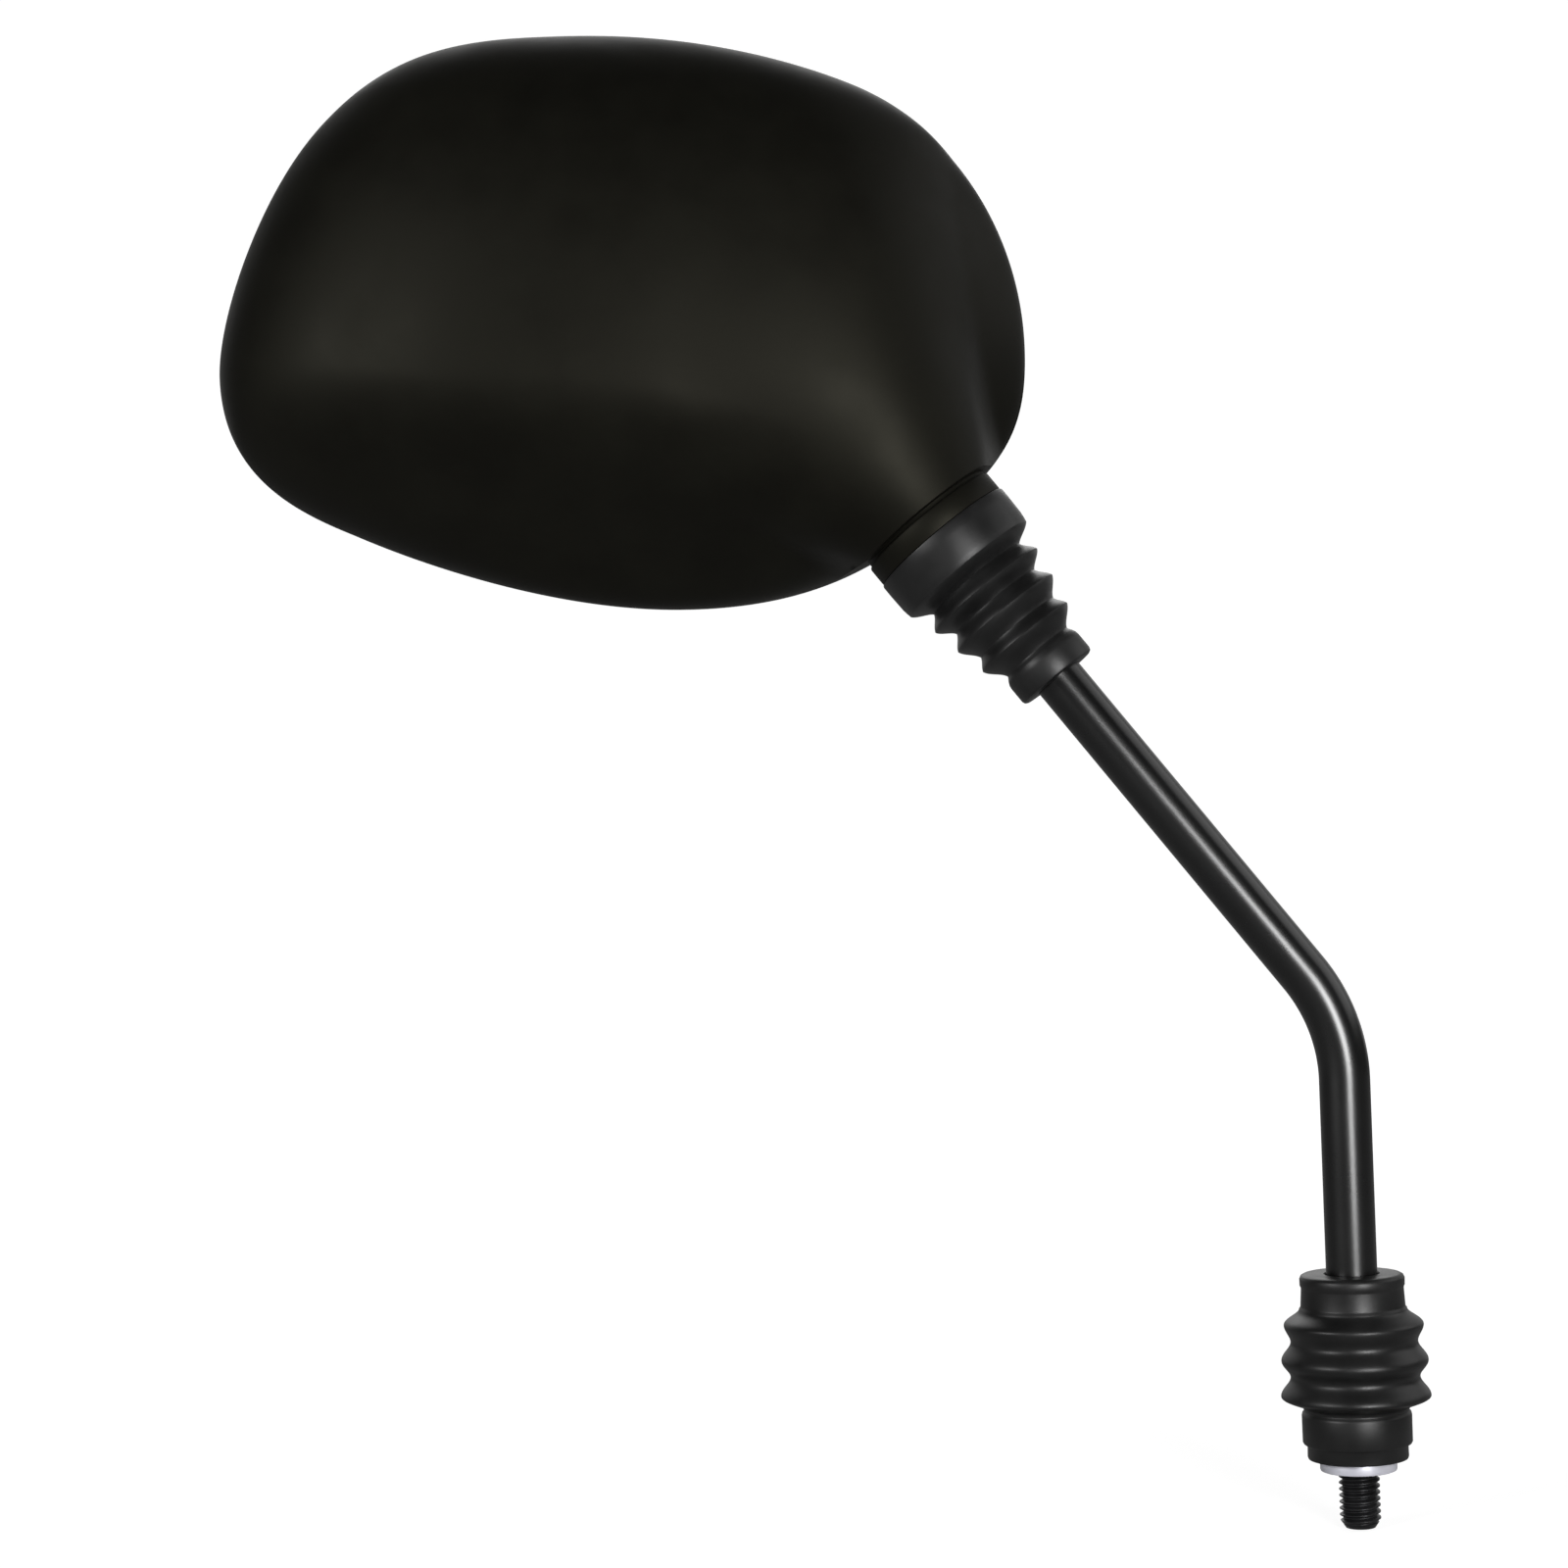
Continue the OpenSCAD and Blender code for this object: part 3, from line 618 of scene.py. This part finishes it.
def outline_of_head(steps):
    """Points in X and Z round the head's edge, along smooth curves between the knots.

    A knot has its place, its heading in degrees and the lengths of its two handles.
    """
    points = []
    for here, there in zip(knots, knots[1:] + knots[:1]):
        a, d = Vector(here[:2]), Vector(there[:2])
        b = a + here[4] * Vector((math.cos(math.radians(here[2])), math.sin(math.radians(here[2]))))
        c = d - there[3] * Vector((math.cos(math.radians(there[2])), math.sin(math.radians(there[2]))))
        for k in range(steps):
            t = k / steps
            points.append((1 - t) ** 3 * a + 3 * (1 - t) ** 2 * t * b + 3 * (1 - t) * t * t * c + t ** 3 * d)
    return points


def soft_min(a, b, k):
    """The lesser of two values, rounded off where they differ by less than k."""
    return min(a, b) - max(k - abs(a - b), 0) ** 2 / (4 * k)


def crown(rho):
    return skirt + (head_depth - skirt) * math.sqrt(max(0, 1 - rho ** crown_power))


root = ball_centre / MM + neck_root * neck_way
flat_way = Vector((neck_way.x, neck_way.z)).normalized()
side_way = Vector((flat_way.y, -flat_way.x))


def spine(p):
    """Depth of the spine alone: a round ridge that widens, rises and then droops from the neck on."""
    from_root = p - Vector((root.x, root.z))
    a, b = max(0, from_root.dot(flat_way)), abs(from_root.dot(side_way))
    w = neck_r + spine_proud + spine_spread * a
    u = min(b / w, flank_at)
    top = rim_y - root.y + neck_r + spine_proud + spine_rise * a - spine_droop * a * a
    return top - w * (1 - math.sqrt(1 - u * u)) - flank_fall * max(0, b - flank_at * w)


def body_depth(p, rho):
    """Depth of the body behind the rim at a point that lies at the share rho of the way to the edge.

    The crown ends at a crease above the lower edge and at a ridge beside the right one.
    """
    bow = low_bows[0] if p.x < low_x else low_bows[1]
    low = skirt + crease_up + low_slope * (p.y - low_z - bow * (p.x - low_x) ** 2)
    low += flare * max(0, p.x - flare_x) ** 2
    side = skirt + crease_up + side_slope * (side_x - side_bow * (p.y - side_z) ** 2 - p.x)
    blend = crease_soft + flattening * max(0, flat_x - p.x)
    return max(skirt, soft_min(soft_min(crown(rho), low, blend), side, crease_soft))


def back_depth(p, rho):
    """The same with the spine that runs out into the neck, and falls to the edge at its far end."""
    along = (p - Vector((root.x, root.z))).dot(flat_way)
    limit = crown(rho) - spine_release * soft_min(0, along - spine_free, release_soft)
    held = soft_min(spine(p), limit, spine_soft)
    return -soft_min(-body_depth(p, rho), -held, merge_soft)


def ring_solid(name, first, rings, last):
    """A closed skin through rings of equal count, with a point at each end, in millimetres."""
    n = len(rings[0])
    points = [first] + [p for ring in rings for p in ring] + [last]
    faces = [(0, 1 + i, 1 + (i + 1) % n) for i in range(n)]
    for j in range(len(rings) - 1):
        a, b = 1 + j * n, 1 + (j + 1) * n
        faces += [(a + i, b + i, b + (i + 1) % n, a + (i + 1) % n) for i in range(n)]
    a = 1 + (len(rings) - 1) * n
    faces += [(len(points) - 1, a + (i + 1) % n, a + i) for i in range(n)]
    piece = new_piece(name, [Vector(p) * MM for p in points], [], faces)
    edit_all()
    close_outwards()
    return piece


edge_line = outline_of_head(50)
count = len(edge_line)
inward = []
for i in range(count):
    along = edge_line[(i + 1) % count] - edge_line[i - 1]
    inward.append(Vector((along.y, -along.x)).normalized())


def flat_ring(inset, y):
    return [(p.x + inset * n.x, y, p.y + inset * n.y) for p, n in zip(edge_line, inward)]


def rounded(radius, steps=4):
    """Insets and drops round a quarter circle, from the flat to the wall."""
    turns = [math.pi / 2 * k / steps for k in range(steps + 1)]
    return [(radius * (1 - math.sin(a)), radius * (1 - math.cos(a))) for a in turns]


back_steps, inner_steps = 56, 20
back_rings = []
for j in range(1, back_steps):
    share = math.sin(math.pi / 2 * j / back_steps)
    ring = []
    for p in edge_line:
        q = centre + share * (p - centre)
        ring.append((q.x, rim_y - back_depth(q, share), q.y))
    back_rings.append(ring)
for inset, drop in rounded(soft_edge):
    ring = []
    for p, n in zip(edge_line, inward):
        q = p + inset * n
        near = (p + soft_edge * n - centre).length / (p - centre).length
        steep = back_depth(p + soft_edge * n, near) - back_depth(p, 1)
        crowned = min(1, max(0, (steep - soft_edge) / (2 * soft_edge)))
        share = (q - centre).length / (p - centre).length
        plain = back_depth(q, min(1, share))
        eased = back_depth(p, 1) - drop
        ring.append((q.x, rim_y - (crowned * plain + (1 - crowned) * min(plain, eased)), q.y))
    back_rings.append(ring)
rim_rings = [flat_ring(0, rim_y - lip)]
rim_rings += [flat_ring(inset, rim_y - drop) for inset, drop in rounded(lip)[::-1][1:]]
rim_rings += [flat_ring(wall - arris, rim_y), flat_ring(wall - 0.15, rim_y - 0.15)]
rim_rings += [flat_ring(wall, rim_y - arris)]
ledge_rings = [flat_ring(wall, rim_y - ledge_drop), flat_ring(ledge_in, rim_y - ledge_drop)]
inner_rings = []
for j in range(inner_steps, 0, -1):
    share = math.sin(math.pi / 2 * j / inner_steps)
    ring = []
    for p in edge_line:
        q = centre + share * (1 - ledge_in / (p - centre).length) * (p - centre)
        rho = (q - centre).length / (p - centre).length
        ring.append((q.x, rim_y - body_depth(q, rho) + wall, q.y))
    inner_rings.append(ring)
top = rim_y - back_depth(centre, 0)
housing = ring_solid(
    "housing_plastic", (centre.x, top, centre.y), back_rings + rim_rings + ledge_rings + inner_rings,
    (centre.x, top + wall, centre.y))


def on_neck(name, profile, steps=96):
    """A turned solid about the neck's axis, through (radius, height) points in millimetres."""
    piece = turned(name, in_metres(profile), steps, closed=False)
    piece.data.transform(at_ball)
    return piece


def drum(name, x, z, radius, low, high):
    """A round bar along Y between two heights, at a point of the head, in millimetres."""
    bare()
    bpy.ops.mesh.primitive_cylinder_add(
        vertices=64, radius=radius * MM, depth=(high - low) * MM,
        location=(x * MM, (low + high) / 2 * MM, z * MM), rotation=(math.pi / 2, 0, 0))
    piece = bpy.context.object
    piece.name = name
    settle(piece)
    return piece


def round_at_ball(name, radius, segments):
    """A sphere about the ball's centre, of a radius in millimetres."""
    bare()
    bpy.ops.mesh.primitive_uv_sphere_add(
        segments=segments, ring_count=segments // 2, radius=radius * MM, location=tuple(ball_centre))
    piece = bpy.context.object
    piece.name = name
    settle(piece)
    return piece


def kept_below(piece, point, way):
    """Saws a solid off along a plane and keeps the side that the plane looks away from."""
    only(piece)
    edit_all()
    sawn(point, way, True)
    close_outwards()


ball_x, ball_y, ball_z = ball_centre / MM
pocket_r, pocket_wall, plate_y = 11.0, 3.8, ball_y + 0.8
spine_cut_y, block_y = 22.5, ball_y + 0.4
screw_circle, boss_r, boss_feet, hole_r = 18, 4.2, (2.4, -8.0, 2.3), 2.0
recess_r, lobe_r, recess_top = 13.7, 5.6, rim_y - ledge_drop

spine_end = on_neck("spine_end", [
    (0, neck_root - 8), (21, neck_root - 8), (21, neck_root + 0.5), (16.2, neck_root + 0.2),
    (15.6, neck_root), (0, neck_root)])
kept_below(spine_end, (0, spine_cut_y * MM, 0), (0, 1, 0))
cut(housing, spine_end, "DIFFERENCE")
neck = on_neck("neck", [
    (0, spigot_end), (spigot_out, spigot_end), (bead_out, -14.9), (bead_out, -14.4), (spigot_out, -13.4),
    (spigot_out, neck_mouth), (14.6, neck_mouth), (14.9, -10.3), (neck_r, -10.0), (neck_r, -6.5),
    (14.9, -6.25), (14.55, -6.15), (14.5, -6.0), (14.5, neck_inner), (0, neck_inner)], 128)
block = round_at_ball("block", pocket_r + pocket_wall, 64)
kept_below(block, (0, block_y * MM, 0), (0, 1, 0))
kept_below(block, ball_centre + (neck_root + 1) * MM * neck_way, -neck_way)
cut(neck, block, "UNION")
screws = []
for degrees in (60, 0, -60):
    a = math.radians(degrees)
    screws.append(Vector((ball_x, ball_z)) + screw_circle * (math.cos(a) * flat_way + math.sin(a) * side_way))
for point, foot in zip(screws, boss_feet):
    cut(neck, drum("boss", point.x, point.y, boss_r, foot, plate_y), "UNION")
cut(housing, neck, "UNION")
hollow = on_neck("hollow", [
    (0, -16.4), (10.8, -16.4), (10.8, -14.4), (8.9, -8), (8.3, -6.8), (0, -6.8)], 64)
cut(hollow, round_at_ball("pocket", pocket_r, 96), "UNION")
recess = drum("recess", ball_x, ball_z, recess_r, plate_y, recess_top)
for point in screws:
    cut(recess, drum("lobe", point.x, point.y, lobe_r, plate_y, recess_top), "UNION")
kept_below(recess, ball_centre + neck_inner * MM * neck_way, -neck_way)
for point in screws:
    cut(recess, drum("screw_hole", point.x, point.y, hole_r, plate_y - 7, plate_y + 2), "UNION")
cut(hollow, recess, "UNION")
cut(housing, hollow, "DIFFERENCE")
smooth(housing, 35)
moulded = finish_of(
    "moulded_plastic", ((0.0022, 0.0021, 0.0016), (0.0032, 0.0031, 0.0023)), (0.48, 0.56), 2600, 70,
    (0.22, 0.00005), share=0.15, specular=0.1, tint=(1, 0.96, 0.77, 1))
dress(housing, moulded, "head_body", "shell_plastic", "shell")


# Glass and gasket
# Convex silvered glass with a ground edge, in a soft rubber gasket that lies on the housing's ledge.
glass_radius, glass_front, glass_t = 1200.0, rim_y - 0.8, 2.2
glass_in, front_in, back_in = 4.4, 4.8, 4.7
gasket_in, slot_in, slot_play = 7.0, 4.3, 0.05


def on_glass(x, z, sink=0.0):
    """Height in Y of the convex glass's front above a point, less a depth into it."""
    away = (x - centre.x) ** 2 + (z - centre.y) ** 2
    return glass_front - glass_radius + math.sqrt((glass_radius - sink) ** 2 - away)


def glass_ring(inset, sink, share=1.0):
    ring = []
    for p, n in zip(edge_line, inward):
        q = centre + share * (p + inset * n - centre)
        ring.append((q.x, on_glass(q.x, q.y, sink), q.y))
    return ring


spans = [j / 12 for j in range(1, 12)]
glass_rings = [glass_ring(front_in, 0, s) for s in spans]
glass_rings += [glass_ring(front_in, 0), glass_ring(4.5, 0.15), glass_ring(glass_in, 0.4)]
glass_rings += [glass_ring(glass_in, glass_t - 0.3), glass_ring(back_in, glass_t)]
glass_rings += [glass_ring(back_in, glass_t, s) for s in spans[::-1]]
glass = ring_solid(
    "mirror_glass", (centre.x, on_glass(*centre), centre.y), glass_rings,
    (centre.x, on_glass(*centre, glass_t), centre.y))
smooth(glass, 30)
silver = finish_of(
    "silvered", ((0.86, 0.88, 0.885), (0.9, 0.915, 0.92)), (0.008, 0.03), 400, 12, (0.01, 0.00001),
    metallic=1.0)
dress(glass, silver, "head_body", "mirror_glass", "glass")

gasket_line = [
    (2.55, -6.3), (2.55, -1.3), (2.8, -0.85), (3.4, -0.65), (4.6, -0.7), (5.8, -1.05), (6.6, -1.5)]
rings = [flat_ring(inset, rim_y + y) for inset, y in gasket_line]
# The lip that ends on the glass, then the slot round the glass's edge, then the foot behind it.
rings += [glass_ring(gasket_in, -0.45), glass_ring(7.05, -slot_play), glass_ring(slot_in, -0.03)]
rings += [glass_ring(slot_in, glass_t + slot_play), glass_ring(gasket_in, glass_t + slot_play)]
rings += [flat_ring(gasket_in, rim_y - 6.3)]
faces = []
for j in range(len(rings)):
    a, b = j * count, (j + 1) % len(rings) * count
    faces += [(a + i, b + i, b + (i + 1) % count, a + (i + 1) % count) for i in range(count)]
gasket = new_piece("glass_gasket", [Vector(p) * MM for ring in rings for p in ring], [], faces)
edit_all()
close_outwards()
smooth(gasket, 40)
soft_black = finish_of(
    "soft_black", ((0.01, 0.01, 0.01), (0.016, 0.016, 0.016)), (0.45, 0.6), 1500, 120, (0.2, 0.00004))
dress(gasket, soft_black, "head_body", "gasket_rubber", "gasket")


# Ball joint
# Inside the neck: a ground steel ball in two nylon cups, under a zinc-plated plate that three screws
# with washers draw down on the bosses. A cut rubber sheet lines the back of the glass.
ground_steel = finish_of(
    "ground_steel", ((0.5, 0.5, 0.51), (0.6, 0.6, 0.61)), (0.18, 0.3), 1200, 200, (0.05, 0.00002),
    metallic=1.0)
nylon = finish_of("nylon", ((0.74, 0.7, 0.6), (0.8, 0.77, 0.68)), (0.4, 0.5), 900, 90, (0.1, 0.00004))
zinc = finish_of(
    "zinc", ((0.5, 0.51, 0.53), (0.62, 0.63, 0.65)), (0.28, 0.42), 1500, 300, (0.1, 0.00002), metallic=1.0)
inner_finishes = {
    "ball": ground_steel, "rear_cup": nylon, "front_cup": nylon, "clamp_plate": zinc,
    "backing_sheet": soft_black}
for kind in ("clamp_screw", "flat_washer", "spring_washer"):
    for i in (1, 2, 3):
        inner_finishes[f"{kind}_{i}"] = zinc
for name, finish in inner_finishes.items():
    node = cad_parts[name]
    node.data.materials.clear()
    node.data.materials.append(finish)
